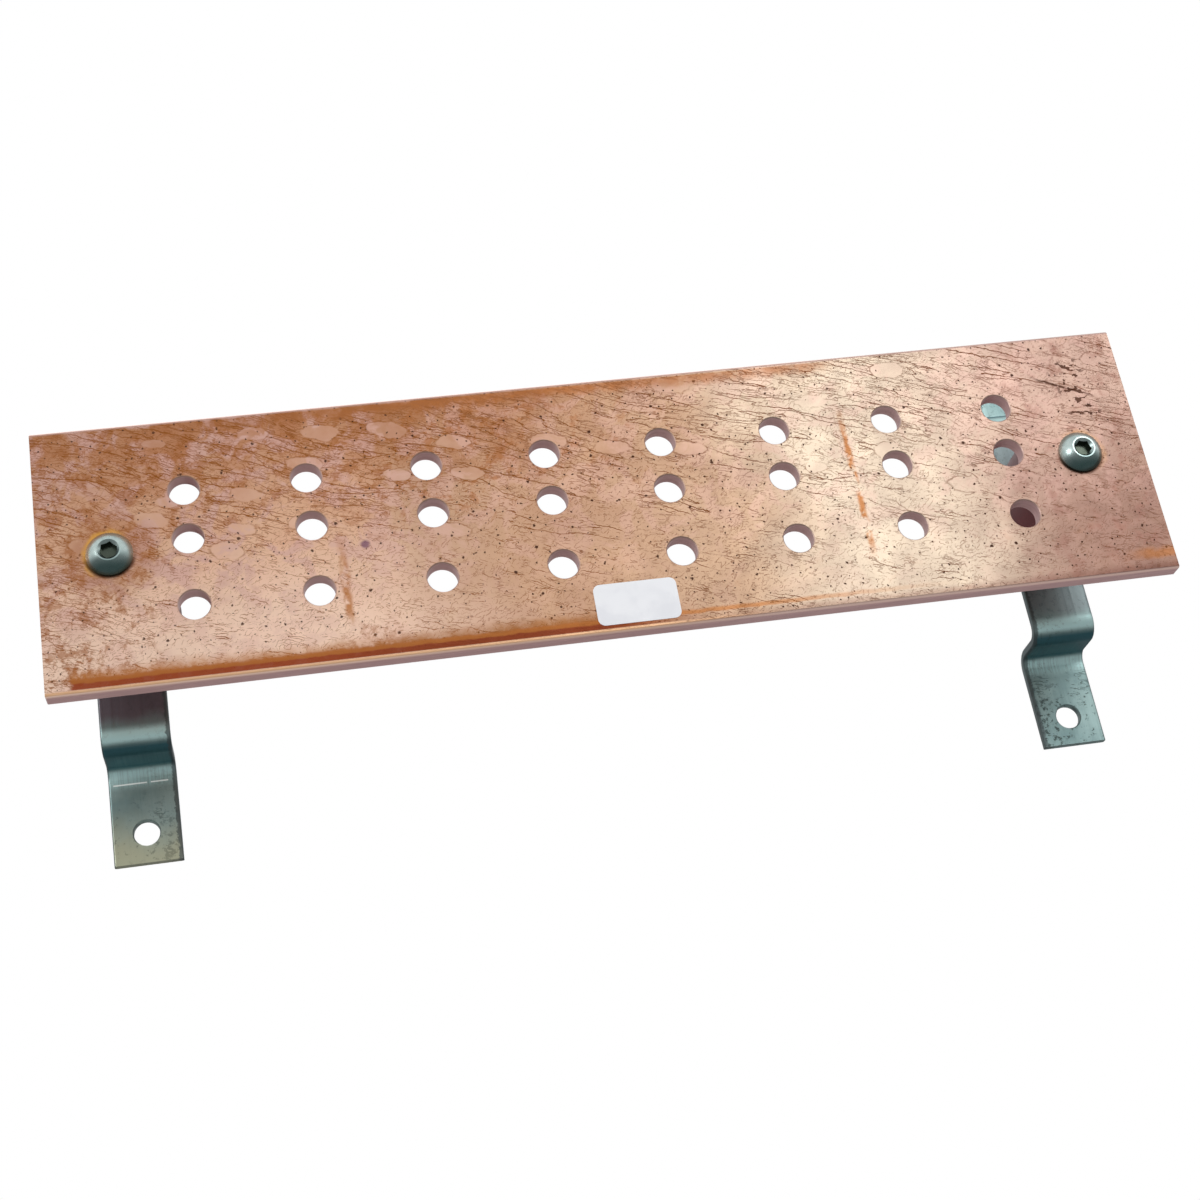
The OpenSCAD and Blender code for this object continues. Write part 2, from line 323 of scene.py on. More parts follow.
def barPlaces(tree, coords):
    # what the stages below share: places on the bar, masks of its sides and common noise
    x, y, z = split(tree, coords["Object"])
    facing = calc(tree, "ABSOLUTE", split(tree, coords["Normal"])[1])  # 1 where it faces front or rear
    along = minus(tree, x, barLow.x)
    rearShift = times(tree, y, copper["rearShift"])  # gives the rear face a pattern of its own
    flat = join(tree, X=plus(tree, x, rearShift), Y=z, Z=rearShift)
    beside = shift(tree, flat, copper["besidePatch"])
    stray = away(tree, noise(tree, flat, 16.0, detail=3.0, rough=0.55), copper["stray"])
    zone = plus(tree, along, stray)
    mottle = noise(tree, beside, 150.0, detail=5.0, rough=0.72)
    return {
        "x": x, "z": z, "along": along, "up": minus(tree, z, barLow.z), "down": minus(tree, barHigh.z, z),
        "flat": flat, "beside": beside, "slanted": turnFlat(tree, flat, math.radians(copper["dropAngle"])),
        "stray": stray, "zone": zone, "leftSide": ramp(tree, zone, *copper["leftSideTo"]),
        "facing": facing, "face": ramp(tree, facing, 0.93, 0.99),
        "front": ramp(tree, y, barLow.y + 0.002, barLow.y + 0.001),
        "patches": noise(tree, flat, 60.0, detail=4.0, rough=0.6, twist=0.5),
        "ragged": away(tree, noise(tree, flat, 190.0, detail=3.0, rough=0.6), copper["ragged"]),
        "mottle": mottle, "cover": ramp(tree, mottle, 0.35, 0.55, toLow=0.55),
    }


def groundColour(tree, at):
    # warm at the left, pale right of the middle, where the paler copper is partly a painted highlight, dusky at
    # the right end
    along, up, zone, flat = at["along"], at["up"], at["zone"], at["flat"]
    colour = copper["left"]
    for tone in ("middle", "shaded", "bright"):
        colour = tint(tree, ramp(tree, zone, *copper[tone + "From"]), colour, copper[tone])
    halfStray = times(tree, at["stray"], 0.5)
    rightEnd = tint(tree, ramp(tree, plus(tree, up, halfStray), *copper["rightHeight"]),
                    copper["rightLow"], copper["right"])
    colour = tint(tree, ramp(tree, plus(tree, along, halfStray), *copper["rightFrom"]), colour, rightEnd)
    lowLeft = times(tree, ramp(tree, plus(tree, up, times(tree, at["stray"], 0.15)), *copper["lowLeftHeight"]),
                    ramp(tree, zone, *copper["lowLeftTo"]))
    colour = tint(tree, lowLeft, colour, copper["lowLeft"])
    upper = ramp(tree, plus(tree, up, away(tree, at["patches"], 0.06)), *copper["washHeight"])
    colour = tint(tree, times(tree, upper, at["leftSide"]), colour, copper["wash"], strength=0.75)
    lilac = times(tree, ramp(tree, noise(tree, flat, 85.0, detail=4.0, rough=0.6, twist=0.8), 0.46, 0.60),
                  ramp(tree, zone, *copper["lilacTo"], toLow=0.3, toHigh=0.8),
                  ramp(tree, up, *copper["lilacHeight"], toLow=0.35))
    colour = tint(tree, lilac, colour, copper["lilac"])
    dusk = times(tree, ramp(tree, noise(tree, flat, 120.0, detail=4.0, rough=0.65), 0.50, 0.68),
                 ramp(tree, along, *copper["duskFrom"]))
    colour = tint(tree, dusk, colour, copper["dusk"], strength=0.7)
    return tint(tree, ramp(tree, at["patches"], 0.35, 0.75, toHigh=0.35), colour,
                tint(tree, 1.0, colour, copper["mottleTint"], blend="MULTIPLY"))


def addDrops(tree, at, colour):
    # pale drops that dried with a brown edge
    distance, chance = cells(tree, stretch(tree, at["slanted"], copper["dropStretch"]), copper["dropScale"])
    uneven = away(tree, noise(tree, at["flat"], 170.0, detail=3.0), copper["dropUneven"])
    shape = calc(tree, "DIVIDE", plus(tree, distance, uneven),
                 ramp(tree, chance[1], 0.0, 1.0, *copper["dropSizes"]))
    chosen = times(tree, calc(tree, "GREATER_THAN", chance[0], copper["dropsLeftOut"]),
                   ramp(tree, at["up"], *copper["dropHeight"]), at["face"])
    ovals = times(tree, ramp(tree, shape, 0.86, 1.0, 1, 0), chosen)
    rims = times(tree, band(tree, shape, 0.90, 0.98, 1.0, 1.10), chosen,
                 ramp(tree, noise(tree, at["flat"], 130.0), 0.42, 0.60))
    pale = times(tree, ovals, ramp(tree, at["zone"], 0.10, 0.20, toLow=0.24, toHigh=0.11),
                 ramp(tree, noise(tree, at["flat"], 200.0, detail=3.0), 0.3, 0.6, toLow=0.5))
    return tint(tree, pale, colour, copper["drop"]), ovals, rims


def addRuns(tree, at, colour, ovals, rims):
    # lines of liquid that ran down to the right, and the crumbs between them
    along, flat, beside = at["along"], at["flat"], at["beside"]
    bare = minus(tree, 1.0, ovals)
    height = ramp(tree, at["up"], *copper["runHeight"])
    busy = most(tree, times(tree, height, at["leftSide"]), ramp(tree, at["zone"], *copper["leftEndTo"]))
    calm = ramp(tree, along, *copper["calmFrom"], toLow=1.0, toHigh=0.75)

    longGaps = noise(tree, stretch(tree, at["slanted"], (0.45, 1, 1)), 95.0)
    fewer = ramp(tree, along, *copper["rightRunsFrom"], toLow=0.22, toHigh=0.12)
    longTaper = ramp(tree, plus(tree, longGaps, times(tree, height, fewer)), 0.50, 0.74)
    longWidth = ramp(tree, along, *copper["longWidthFrom"], *copper["longWidths"])
    longRuns = useGroup(tree, flowGroup, place=flat, width=longWidth, taper=longTaper,
                        **copper["longRuns"])["lines"]
    fineGaps = noise(tree, stretch(tree, beside, (0.6, 1, 1)), 130.0, detail=3.0, rough=0.6)
    fineGaps = plus(tree, fineGaps, times(tree, most(tree, busy, times(tree, height, 0.75)), 0.16))
    fineRuns = useGroup(tree, flowGroup, place=beside, taper=ramp(tree, fineGaps, 0.48, 0.72),
                        **copper["fineRuns"])["lines"]
    crumbGaps = noise(tree, flat, 230.0, detail=3.0, rough=0.65)
    dashGaps = plus(tree, crumbGaps, times(tree, busy, 0.07))
    dashes = useGroup(tree, flowGroup, place=beside, taper=ramp(tree, dashGaps, 0.47, 0.66),
                      **copper["dashes"])["lines"]
    crumbs = useGroup(tree, flowGroup, place=flat, taper=ramp(tree, crumbGaps, 0.54, 0.38),
                      **copper["crumbs"])["lines"]

    fineStrength = ramp(tree, along, *copper["fineFrom"], toLow=0.95, toHigh=0.68)
    marks = most(tree, longRuns, times(tree, fineRuns, fineStrength),
                 times(tree, dashes, copper["dashStrength"], calm),
                 times(tree, crumbs, copper["crumbStrength"], calm))
    marks = times(tree, most(tree, times(tree, marks, bare), times(tree, rims, 0.6)), at["face"])
    blotches = times(tree, ramp(tree, plus(tree, at["mottle"], times(tree, busy, 0.08)), 0.56, 0.68), bare,
                     at["face"], ramp(tree, busy, 0.1, 0.7, toLow=0.15))
    colour = tint(tree, blotches, colour, copper["wash"], strength=0.65)
    runColour = tint(tree, ramp(tree, along, 0.10, 0.30), copper["runLeft"], copper["runRight"])
    colour = tint(tree, times(tree, marks, ramp(tree, at["mottle"], 0.35, 0.60, toLow=0.70, toHigh=0.95)),
                  colour, runColour)
    return colour, marks


def addSpecks(tree, at, colour):
    small = useGroup(tree, speckGroup, place=at["flat"], **copper["smallSpecks"])["spots"]
    large = useGroup(tree, speckGroup, place=at["beside"], **copper["largeSpecks"])["spots"]
    specks = times(tree, most(tree, small, large), at["face"])
    return tint(tree, specks, colour, copper["speck"], strength=0.92), specks


def addLowerStain(tree, at, colour):
    # stain that gathered along the lower edge: an orange fringe over a rust core, tall in two places
    along, up, ragged, front = at["along"], at["up"], at["ragged"], at["front"]
    level = plus(tree, up, ragged, away(tree, noise(tree, at["flat"], 30.0), copper["sway"]))
    start = ramp(tree, plus(tree, along, ragged), *copper["stainFrom"])
    strong = times(tree, start, ramp(tree, along, *copper["stainTo"]), front)
    weak = times(tree, start, ramp(tree, along, *copper["threadTo"]), front)
    unevenAlong = plus(tree, along, times(tree, ragged, 2.0))
    tall = most(tree, *[band(tree, unevenAlong, *place) for place in copper["tallPlaces"]])
    smudge = times(tree, tall, ramp(tree, up, *copper["tallHeight"]), ramp(tree, at["mottle"], 0.44, 0.62),
                   ramp(tree, up, *copper["tallFoot"]), front)
    colour = tint(tree, smudge, colour, copper["wash"], strength=0.7)
    darker = ramp(tree, along, *copper["darkerTo"], toLow=1.0, toHigh=0.78)
    fringe = times(tree, ramp(tree, level, *copper["fringeHeight"]), ramp(tree, up, *copper["fringeFoot"]),
                   strong, at["cover"])
    colour = tint(tree, fringe, colour, stretch(tree, copper["orange"], darker), strength=0.88)
    core = times(tree, ramp(tree, plus(tree, up, times(tree, ragged, 0.35)), *copper["coreHeight"]),
                 ramp(tree, up, *copper["coreFoot"]), strong)
    colour = tint(tree, core, colour, stretch(tree, copper["rust"], darker), strength=0.92)
    # a thin thread that goes on to the right, a smear at the right end and a golden line below
    thread = times(tree, band(tree, plus(tree, up, times(tree, ragged, 0.3)), *copper["threadHeights"]), weak)
    colour = tint(tree, thread, colour, copper["orange"], strength=0.7)
    smear = times(tree, band(tree, level, *copper["smearHeights"]), ramp(tree, along, *copper["smearFrom"]),
                  front)
    colour = tint(tree, smear, colour, copper["orange"], strength=0.6)
    gold = times(tree, band(tree, up, *copper["goldHeights"]), front, ramp(tree, along, *copper["goldTo"]))
    return tint(tree, gold, colour, copper["gold"]), most(tree, fringe, core)


def addUpperStains(tree, at, colour):
    # stain along the upper edge, and two that ran straight down
    along, up, down, ragged, front = at["along"], at["up"], at["down"], at["ragged"], at["front"]
    reach = times(tree, ramp(tree, along, *copper["topFrom"]), ramp(tree, along, *copper["topTo"]), front)
    weaker = ramp(tree, along, *copper["topWeakFrom"], toLow=0.95, toHigh=0.7)
    top = times(tree, ramp(tree, plus(tree, down, times(tree, ragged, 1.2)), *copper["topDepth"]),
                ramp(tree, down, *copper["topClear"]), reach, weaker, at["cover"])
    colour = tint(tree, top, colour, copper["wash"])
    lowFade, highFade = copper["straightFades"]
    for middle, low, high, halfWidth in copper["straightStains"]:
        side = far(tree, plus(tree, along, times(tree, ragged, 0.6)), middle)
        run = times(tree, ramp(tree, side, halfWidth, copper["straightCore"]),
                    band(tree, up, low, low + lowFade, high - highFade, high), front,
                    ramp(tree, noise(tree, at["flat"], 120.0, detail=3.0, rough=0.6), 0.40, 0.54))
        colour = tint(tree, run, colour, copper["orange"], strength=0.85)
    return colour


def addScrewHalos(tree, at, colour):
    # brown wash round the left screw, a painted reflection of the head's rim as a yellow crescent beside each
    # one, and a painted shadow below its head
    x, z, ragged, front = at["x"], at["z"], at["ragged"], at["front"]
    sideways = minus(tree, calc(tree, "ABSOLUTE", x), screwX)
    radius = radiusOf(tree, sideways, z)
    unevenRadius = plus(tree, radius, times(tree, ragged, 0.4))
    leftEnd, rightEnd = copper["fromMiddle"]
    wash = times(tree, ramp(tree, unevenRadius, *copper["washRadius"], toHigh=0.6), front,
                 ramp(tree, x, rightEnd, leftEnd), at["cover"])
    colour = tint(tree, wash, colour, copper["wash"])
    # painted reflection of the head's rim, a yellow crescent on the copper beside each screw
    headReflection = times(tree, ramp(tree, plus(tree, radius, times(tree, ragged, 1.2)), *copper["haloRadius"]),
                 ramp(tree, plus(tree, sideways, times(tree, z, 0.7)), *copper["haloSide"]), front,
                 ramp(tree, x, leftEnd, rightEnd, toLow=0.75, toHigh=0.22))
    colour = tint(tree, headReflection, colour, copper["headReflection"])
    # painted shadow below each screw head, in the speck colour
    under = times(tree, ramp(tree, radius, *copper["shadowRadius"]),
                  ramp(tree, z, *copper["shadowSide"]), front)
    return tint(tree, under, colour, copper["speck"], strength=0.8)


def addEdgeLines(tree, at, colour):
    # painted highlight as a pale line along the top and the lower right edge, a darker band along the lower
    # edge of the right part, and painted shade as a dark line at the lower left
    along, up = at["along"], at["up"]
    colour = tint(tree, ramp(tree, at["down"], *copper["paleLine"]), colour, copper["edgeTone"], strength=0.8)
    edgeTone = times(tree, ramp(tree, plus(tree, up, times(tree, at["ragged"], 0.4)), *copper["bandHeight"]),
                 ramp(tree, along, *copper["bandFrom"]), at["front"])
    colour = tint(tree, edgeTone, colour, stretch(tree, colour, copper["bandTint"]), strength=0.8)
    lowLine = ramp(tree, up, *copper["lowLine"])
    lowRight = times(tree, lowLine, ramp(tree, along, *copper["lowLineFrom"]))
    colour = tint(tree, lowRight, colour, copper["edgeTone"], strength=0.8)
    dark = times(tree, ramp(tree, up, *copper["darkLine"]), ramp(tree, along, *copper["darkLineTo"]))
    return tint(tree, dark, colour, copper["dusk"], strength=0.75), lowLine


def addDarkSpots(tree, at, colour):
    along, up, ragged, front = at["along"], at["up"], at["ragged"], at["front"]
    fromBlots = far(tree, plus(tree, along, times(tree, up, copper["blotLean"])), copper["blotPlace"])
    corner = times(tree, ramp(tree, fromBlots, *copper["blotHalfWidth"]),
                   band(tree, up, *copper["blotHeights"]), front)
    blots = ramp(tree, noise(tree, stretch(tree, at["flat"], (0.8, 1.2, 1.0)), 420.0), 0.565, 0.60)
    colour = tint(tree, times(tree, blots, corner), colour, copper["speck"], strength=0.9)
    fall = plus(tree, up, times(tree, along, copper["streakFall"]), times(tree, ragged, 0.6))
    streak = times(tree, ramp(tree, far(tree, fall, copper["streakPlace"]), *copper["streakHalfWidth"]),
                   band(tree, along, *copper["streakEnds"]), ramp(tree, at["mottle"], 0.36, 0.46), front)
    colour = tint(tree, streak, colour, copper["speck"], strength=0.9)
    radius = radiusOf(tree, plus(tree, minus(tree, along, copper["violetPlace"]), times(tree, ragged, 0.5)),
                      minus(tree, up, copper["violetHeight"]))
    spot = times(tree, ramp(tree, radius, *copper["violetRadius"]), front)
    return tint(tree, spot, colour, copper["violet"], strength=0.75)


def addWalls(tree, at, colour):
    # dull hole walls and edges, with a painted highlight along the rounded arris
    wall = ramp(tree, at["facing"], 0.75, 0.35)
    colour = tint(tree, wall, colour, tint(tree, at["patches"], copper["edge"], copper["wall"]), strength=0.9)
    # painted highlight on the rounded arris of each face and hole
    arrisHighlight = band(tree, at["facing"], 0.45, 0.65, 0.85, 0.98)
    return tint(tree, arrisHighlight, colour, copper["arris"], strength=0.55), wall


def makeCopper():
    material, tree, shader, coords = newMaterial("tarnishedCopper")
    at = barPlaces(tree, coords)
    colour, ovals, rims = addDrops(tree, at, groundColour(tree, at))
    colour, marks = addRuns(tree, at, colour, ovals, rims)
    colour, specks = addSpecks(tree, at, colour)
    colour, lowerStain = addLowerStain(tree, at, colour)
    colour = addScrewHalos(tree, at, addUpperStains(tree, at, colour))
    colour, lowLine = addEdgeLines(tree, at, colour)
    colour, wall = addWalls(tree, at, addDarkSpots(tree, at, colour))
    feed(tree, shader["Base Color"], colour)
    stained = most(tree, marks, specks)
    dull = most(tree, ramp(tree, wall, 0.2, 0.8, toHigh=0.65), times(tree, stained, 0.55),
                times(tree, lowerStain, 0.5), times(tree, lowLine, 0.6))
    feed(tree, shader["Metallic"], minus(tree, 1.0, dull))
    shader["Specular IOR Level"].default_value = copper["specular"]
    feed(tree, shader["Roughness"], plus(tree, times(tree, stained, copper["stainRoughness"]),
                                         ramp(tree, at["patches"], 0.2, 0.8, *copper["roughness"])))
    grain = useGroup(tree, grainGroup, place=coords["Object"], across=(0.02, 1.0, 1.0), fineness=1400.0)
    relief = minus(tree, times(tree, grain["lines"], 0.3), times(tree, stained, 0.5))
    addBump(tree, shader, relief, copper["relief"])
    return material


dress(makeCopper(), "busbar")
print("copper done")


film = {"white": (0.86, 0.87, 0.90), "shade": (0.80, 0.81, 0.85), "roughness": (0.38, 0.50),
        "relief": 0.00001}


def makeFilm():
    material, tree, shader, coords = newMaterial("blankLabelFilm")
    clouds = noise(tree, coords["Object"], 120.0, detail=3.0)
    feed(tree, shader["Base Color"], tint(tree, ramp(tree, clouds, 0.4, 0.7), film["white"], film["shade"]))
    addRoughness(tree, shader, clouds, *film["roughness"])
    addBump(tree, shader, noise(tree, coords["Object"], 2600.0), film["relief"])
    return material


dress(makeFilm(), "label")


# the stainless screws through the bar; the low colour is painted shade below the middle of the head, and the
# dark socket colour is painted shade in the socket
screwSteel = {"light": (0.62, 0.73, 0.71), "dark": (0.42, 0.54, 0.525), "socketShade": (0.04, 0.05, 0.03),
              "low": (0.06, 0.15, 0.145), "shadeHeight": (0.0015, -0.0045), "socketDepth": (0.0011, 0.0014),
              "socketRadius": (0.0037, 0.0035), "roughness": (0.20, 0.34), "relief": 0.000006}


def makeScrewSteel():
    material, tree, shader, coords = newMaterial("turnedStainless")
    x, y, z = split(tree, coords["Object"])
    radius = radiusOf(tree, minus(tree, calc(tree, "ABSOLUTE", x), screwX), z)
    rings = noise(tree, join(tree, X=radius, Y=times(tree, y, 0.3)), 2600.0)
    clouds = noise(tree, coords["Object"], 220.0, detail=4.0, rough=0.6)
    colour = tint(tree, ramp(tree, clouds, 0.35, 0.7), screwSteel["light"], screwSteel["dark"])
    # painted shade on the lower half of the dome
    low = ramp(tree, plus(tree, z, times(tree, clouds, 0.004)), *screwSteel["shadeHeight"], toHigh=0.85)
    colour = tint(tree, low, colour, screwSteel["low"])
    # painted shade on the floor and walls of the socket; its bevelled mouth stays bright
    facing = calc(tree, "ABSOLUTE", split(tree, coords["Normal"])[1])
    depth = minus(tree, y, screwLow.y)
    inside = most(tree, ramp(tree, facing, 0.45, 0.25), ramp(tree, depth, *screwSteel["socketDepth"]))
    inside = times(tree, inside, ramp(tree, radius, *screwSteel["socketRadius"]))
    feed(tree, shader["Base Color"], tint(tree, inside, colour, screwSteel["socketShade"], strength=0.92))
    shader["Metallic"].default_value = 1.0
    addRoughness(tree, shader, clouds, *screwSteel["roughness"])
    addBump(tree, shader, rings, screwSteel["relief"])
    return material


dress(makeScrewSteel(), "left_bar_screw", "right_bar_screw")


resin = {"red": (0.115, 0.013, 0.017), "light": (0.145, 0.020, 0.023), "fleck": (0.26, 0.07, 0.06),
         "roughness": (0.34, 0.49), "relief": 0.00002}


def makeResin():
    material, tree, shader, coords = newMaterial("mouldedRedResin")
    place = coords["Object"]
    clouds = noise(tree, place, 90.0, detail=4.0, rough=0.6)
    flecks = useGroup(tree, speckGroup, place=place, fineness=900.0, size=0.3, share=0.3)["spots"]
    colour = tint(tree, ramp(tree, clouds, 0.35, 0.75), resin["red"], resin["light"])
    feed(tree, shader["Base Color"], tint(tree, flecks, colour, resin["fleck"], strength=0.35))
    addRoughness(tree, shader, clouds, *resin["roughness"])
    addBump(tree, shader, noise(tree, place, 1400.0, detail=3.0), resin["relief"])
    return material


dress(makeResin(), "left_insulator", "right_insulator")


brass = {"light": (0.62, 0.44, 0.19), "dull": (0.42, 0.28, 0.12), "roughness": (0.32, 0.47),
         "relief": 0.00001}


def makeBrass():
    material, tree, shader, coords = newMaterial("turnedBrass")
    grain = useGroup(tree, grainGroup, place=coords["Object"], across=(0.05, 1.0, 0.05), fineness=1800.0)
    feed(tree, shader["Base Color"], tint(tree, grain["clouds"], brass["light"], brass["dull"]))
    shader["Metallic"].default_value = 1.0
    addRoughness(tree, shader, grain["lines"], *brass["roughness"])
    addBump(tree, shader, grain["lines"], brass["relief"])
    return material


dress(makeBrass(), "left_front_insert", "right_front_insert", "left_rear_insert", "right_rear_insert")


# the hat-shaped brackets; a height counts up or down from the bolt, in metres
rolledSteel = {
    "light": (0.36, 0.50, 0.49), "dark": (0.22, 0.33, 0.33), "mark": (0.04, 0.055, 0.05),
    # violet, leg and edge are painted shade; bend and gleam are painted highlights
    "violet": (0.165, 0.125, 0.155), "violetHeight": (0.046, 0.036), "straw": (0.52, 0.51, 0.34),
    "strawHeight": (0.066, 0.084), "bend": (0.56, 0.82, 0.81), "upperBend": (0.0410, 0.0445, 0.0465, 0.0485),
    "footBend": (0.0510, 0.0525, 0.0550, 0.0600), "leg": (0.06, 0.17, 0.20),
    "legHeights": (0.0475, 0.0495, 0.0505, 0.0520), "gleam": (0.95, 1.0, 0.96),
    "gleamHeights": (0.0564, 0.0567, 0.0569, 0.0572), "gleamEnds": (-0.0095, -0.0090, 0.0105, 0.0110),
    "gleamGap": -0.0022, "edge": (0.10, 0.125, 0.13), "innerEdge": (-0.0107, -0.0113),
    "outerEdge": (0.0116, 0.0122), "scuffHeights": (0.0560, 0.0600, 0.0660, 0.0760),
    "scuffs": {"turn": math.radians(12), "fineness": 620.0, "length": 4.0, "waver": 0.006, "jitter": 0.0014,
               "width": 0.00016},
    "metallic": 0.9, "roughness": (0.34, 0.48), "relief": 0.00002,
}


def makeRolledSteel():
    material, tree, shader, coords = newMaterial("rolledStainlessStrip")
    place = coords["Object"]
    sides = split(tree, place)
    x, z = sides["X"], sides["Z"]
    reach = calc(tree, "ABSOLUTE", z)
    middle = minus(tree, calc(tree, "ABSOLUTE", x), screwX)  # across the strip, outwards
    onLeft = ramp(tree, x, 0.05, -0.05)
    lines, clouds = useGroup(tree, grainGroup, place=place, across=(1.0, 0.012, 0.012), fineness=1500.0)
    colour = tint(tree, ramp(tree, clouds, 0.35, 0.7), rolledSteel["light"], rolledSteel["dark"])
    colour = tint(tree, ramp(tree, lines, 0.50, 0.75, toHigh=0.3), colour, rolledSteel["dark"])
    # painted shade in violet on the crown of the hat, where the bar shades it, straw tint at the tips of the
    # left one, painted highlights on the bends
    uneven = plus(tree, reach, away(tree, clouds, 0.02))
    # painted shade on the crown, under the bar
    violet = times(tree, ramp(tree, uneven, *rolledSteel["violetHeight"]),
                   ramp(tree, onLeft, 0.0, 1.0, toLow=0.45, toHigh=0.9))
    colour = tint(tree, violet, colour, rolledSteel["violet"])
    straw = times(tree, ramp(tree, uneven, *rolledSteel["strawHeight"]), onLeft)
    colour = tint(tree, straw, colour, rolledSteel["straw"], strength=0.8)
    # painted shade: a dark band on the leg between the bends
    colour = tint(tree, band(tree, reach, *rolledSteel["legHeights"]), colour, rolledSteel["leg"])
    # painted highlight on the bends
    footBend = times(tree, band(tree, reach, *rolledSteel["footBend"]),
                     ramp(tree, lines, 0.35, 0.60, toLow=0.5))
    bends = most(tree, band(tree, reach, *rolledSteel["upperBend"]), footBend)
    colour = tint(tree, bends, colour, rolledSteel["bend"], strength=0.85)
    # a thin gleam across the left foot, with a short gap in it
    gleam = times(tree, band(tree, reach, *rolledSteel["gleamHeights"]),
                  band(tree, middle, *rolledSteel["gleamEnds"]), onLeft,
                  ramp(tree, far(tree, middle, rolledSteel["gleamGap"]), 0.0005, 0.0009))
    # scuffs and dirt, and painted shade along the rolled edges and side faces
    scuffTaper = times(tree, ramp(tree, noise(tree, place, 110.0, detail=4.0, rough=0.65), 0.48, 0.66),
                       band(tree, reach, *rolledSteel["scuffHeights"]))
    scuffs = useGroup(tree, flowGroup, place=join(tree, X=x, Y=z), taper=scuffTaper,
                      **rolledSteel["scuffs"])["lines"]
    inwards = ramp(tree, plus(tree, middle, away(tree, clouds, 0.012)), 0.004, -0.012)
    smuts = plus(tree, noise(tree, place, 520.0, detail=5.0, rough=0.72), times(tree, inwards, 0.07))
    smuts = times(tree, ramp(tree, smuts, 0.57, 0.65), ramp(tree, reach, 0.058, 0.072, toLow=0.3),
                  ramp(tree, onLeft, 0.0, 1.0, toLow=1.0, toHigh=0.5))
    marks = most(tree, times(tree, scuffs, 0.8), times(tree, smuts, 0.8))
    colour = tint(tree, marks, colour, rolledSteel["mark"])
    # painted shade along the inner and outer rolled edges
    unevenMiddle = plus(tree, middle, away(tree, noise(tree, place, 420.0, detail=4.0, rough=0.7), 0.003))
    rimShade = most(tree, ramp(tree, unevenMiddle, *rolledSteel["innerEdge"]),
                     ramp(tree, middle, *rolledSteel["outerEdge"], toHigh=0.6))
    colour = tint(tree, rimShade, colour, rolledSteel["edge"], strength=0.8)
    # painted shade on the side faces of the strip
    facingSideways = calc(tree, "ABSOLUTE", split(tree, coords["Normal"])[0])
    colour = tint(tree, ramp(tree, facingSideways, 0.35, 0.8), colour, rolledSteel["edge"], strength=0.75)
    feed(tree, shader["Base Color"], tint(tree, gleam, colour, rolledSteel["gleam"], strength=0.95))
    less = most(tree, times(tree, gleam, 0.7), times(tree, bends, 0.35))
    feed(tree, shader["Metallic"], minus(tree, rolledSteel["metallic"], less))
    addRoughness(tree, shader, lines, *rolledSteel["roughness"])
    addBump(tree, shader, minus(tree, times(tree, lines, 0.5), marks), rolledSteel["relief"])
    return material


dress(makeRolledSteel(), "left_bracket", "right_bracket")


boltSteel = {"light": (0.47, 0.50, 0.49), "dark": (0.31, 0.34, 0.335), "spot": (0.12, 0.13, 0.12),
             "roughness": (0.30, 0.44), "relief": 0.00001}
washerSteel = {"light": (0.40, 0.43, 0.425), "dark": (0.27, 0.30, 0.295), "spot": (0.12, 0.13, 0.12),
               "roughness": (0.34, 0.48), "relief": 0.00001}


def makeFastenerSteel(name, steel):
    material, tree, shader, coords = newMaterial(name)
    place = coords["Object"]
    lines, clouds = useGroup(tree, grainGroup, place=place, across=(0.08, 1.0, 0.08), fineness=1600.0)
    spots = useGroup(tree, speckGroup, place=place, fineness=700.0, size=0.3, share=0.15)["spots"]
    colour = tint(tree, ramp(tree, clouds, 0.35, 0.7), steel["light"], steel["dark"])
    feed(tree, shader["Base Color"], tint(tree, spots, colour, steel["spot"], strength=0.5))
    shader["Metallic"].default_value = 1.0
    addRoughness(tree, shader, lines, *steel["roughness"])
    addBump(tree, shader, lines, steel["relief"])
    return material


dress(makeFastenerSteel("forgedBoltSteel", boltSteel), "left_bracket_bolt", "right_bracket_bolt")
dress(makeFastenerSteel("springWasherSteel", washerSteel), "left_lock_washer", "right_lock_washer")
print("steel, resin and brass done")


viewpoint = {"place": (-0.1310, -0.7405, -0.3191), "turn": (114.538, 9.386, -5.627), "lens": 61.9,
             "sensor": 36, "shiftX": 0.0188, "shiftY": -0.0396, "nearest": 0.01}

cameraData = bpy.data.cameras.new("viewCamera")
cameraData.sensor_width = viewpoint["sensor"]
cameraData.lens = viewpoint["lens"]
cameraData.shift_x = viewpoint["shiftX"]
cameraData.shift_y = viewpoint["shiftY"]
cameraData.clip_start = viewpoint["nearest"]
camera = bpy.data.objects.new("viewCamera", cameraData)
camera.location = viewpoint["place"]
camera.rotation_euler = [math.radians(angle) for angle in viewpoint["turn"]]
bpy.context.scene.collection.objects.link(camera)
bpy.context.scene.camera = camera


# floor, lamps and surroundings; a gloss level is how bright the surroundings look in the metal
studio = {"floorLevel": -0.46, "floorSize": 6.0, "floorColour": (0.86, 0.86, 0.87), "floorRoughness": 0.8,
          "nearFloorInMetal": 0.24, "farFloorInMetal": 0.30, "floorFade": (-0.30, -0.80), "ambient": 0.72,
          "lowGloss": 0.14, "highGloss": 0.80, "glossHeight": (-0.35, 0.35), "rearGloss": 0.62,
          "rearFade": (0.1, 0.6), "background": (1.0, 1.0, 1.0)}

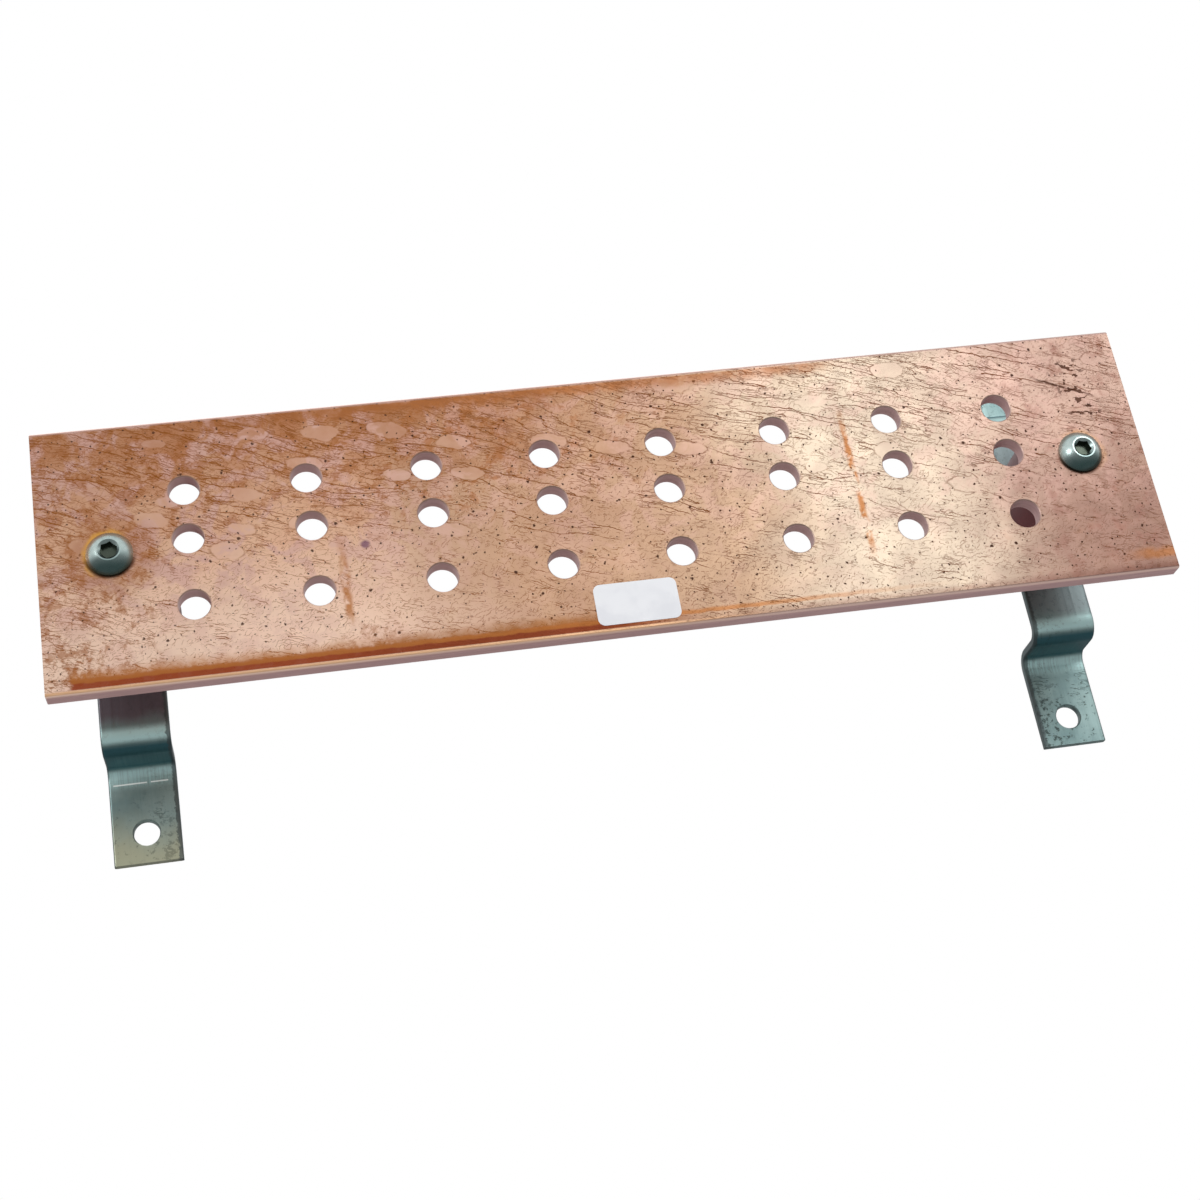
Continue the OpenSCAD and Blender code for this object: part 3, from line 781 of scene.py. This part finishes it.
bpy.ops.object.select_all(action="DESELECT")
bpy.ops.mesh.primitive_plane_add(size=studio["floorSize"], location=(0, 0, 0))
floor = bpy.context.object
floor.name = "studioFloor"
for corner in floor.data.vertices:
    corner.co.z = studio["floorLevel"]
floorMaterial, floorTree, floorShader, floorCoords = newMaterial("paleFloor")
floorShader["Base Color"].default_value = (*studio["floorColour"], 1)
floorShader["Roughness"].default_value = studio["floorRoughness"]
forward = split(floorTree, floorCoords["Object"])["Y"]
inMetal = addNode(floorTree, "Emission", {"Strength": ramp(
    floorTree, forward, *studio["floorFade"], studio["nearFloorInMetal"], studio["farFloorInMetal"])})
lit = addNode(floorTree, "MixShader", {0: addNode(floorTree, "LightPath").outputs["Is Glossy Ray"],
                                       1: floorTree.nodes["Principled BSDF"].outputs[0], 2: inMetal.outputs[0]})
clear = addNode(floorTree, "BsdfTransparent")
oneSided = addNode(floorTree, "MixShader", {0: addNode(floorTree, "NewGeometry").outputs["Backfacing"],
                                            1: lit.outputs[0], 2: clear.outputs[0]})
feed(floorTree, floorTree.nodes["Material Output"].inputs["Surface"], oneSided.outputs[0])
floor.data.materials.append(floorMaterial)

world = bpy.data.worlds.new("studioWorld")
bpy.context.scene.world = world
world.use_nodes = True
sky = world.node_tree
sky.nodes.clear()
rays = addNode(sky, "LightPath").outputs
direction = split(sky, addNode(sky, "TexCoord").outputs["Generated"])
gloss = ramp(sky, direction["Z"], *studio["glossHeight"], studio["lowGloss"], studio["highGloss"])
gloss = calc(sky, "MINIMUM", gloss, ramp(sky, direction["Y"], *studio["rearFade"], studio["highGloss"],
                                         studio["rearGloss"]))
dimmed = addNode(sky, "Mix", {0: rays["Is Glossy Ray"], 2: studio["ambient"], 3: gloss}, data_type="FLOAT")
seen = most(sky, rays["Is Camera Ray"], rays["Is Transmission Ray"])
level = addNode(sky, "Mix", {0: seen, 2: dimmed.outputs[0], 3: 1.0}, data_type="FLOAT")
background = addNode(sky, "Background", {"Color": (*studio["background"], 1), "Strength": level.outputs[0]})
feed(sky, addNode(sky, "OutputWorld").inputs["Surface"], background.outputs[0])

lamps = {
    "keyLamp": {"place": (0.54, -1.40, 0.64), "aim": (0.09, -0.08, 0.0), "size": 0.6, "power": 3.2},
    "fillLamp": {"place": (-1.1, -1.0, 0.35), "aim": (-0.05, -0.05, 0.0), "size": 0.42, "power": 3.0},
    "topLamp": {"place": (0.0, 0.5, 1.2), "aim": (0.0, -0.03, 0.0), "size": 1.0, "power": 4.0},
}
for name, lamp in lamps.items():
    lampData = bpy.data.lights.new(name, "AREA")
    lampData.size = lamp["size"]
    lampData.energy = lamp["power"]
    lampObject = bpy.data.objects.new(name, lampData)
    lampObject.location = lamp["place"]
    aim = Vector(lamp["aim"]) - Vector(lamp["place"])
    lampObject.rotation_euler = aim.to_track_quat("-Z", "Y").to_euler()
    bpy.context.scene.collection.objects.link(lampObject)

bpy.context.scene.view_settings.view_transform = "Standard"
print("camera, floor and lamps done")
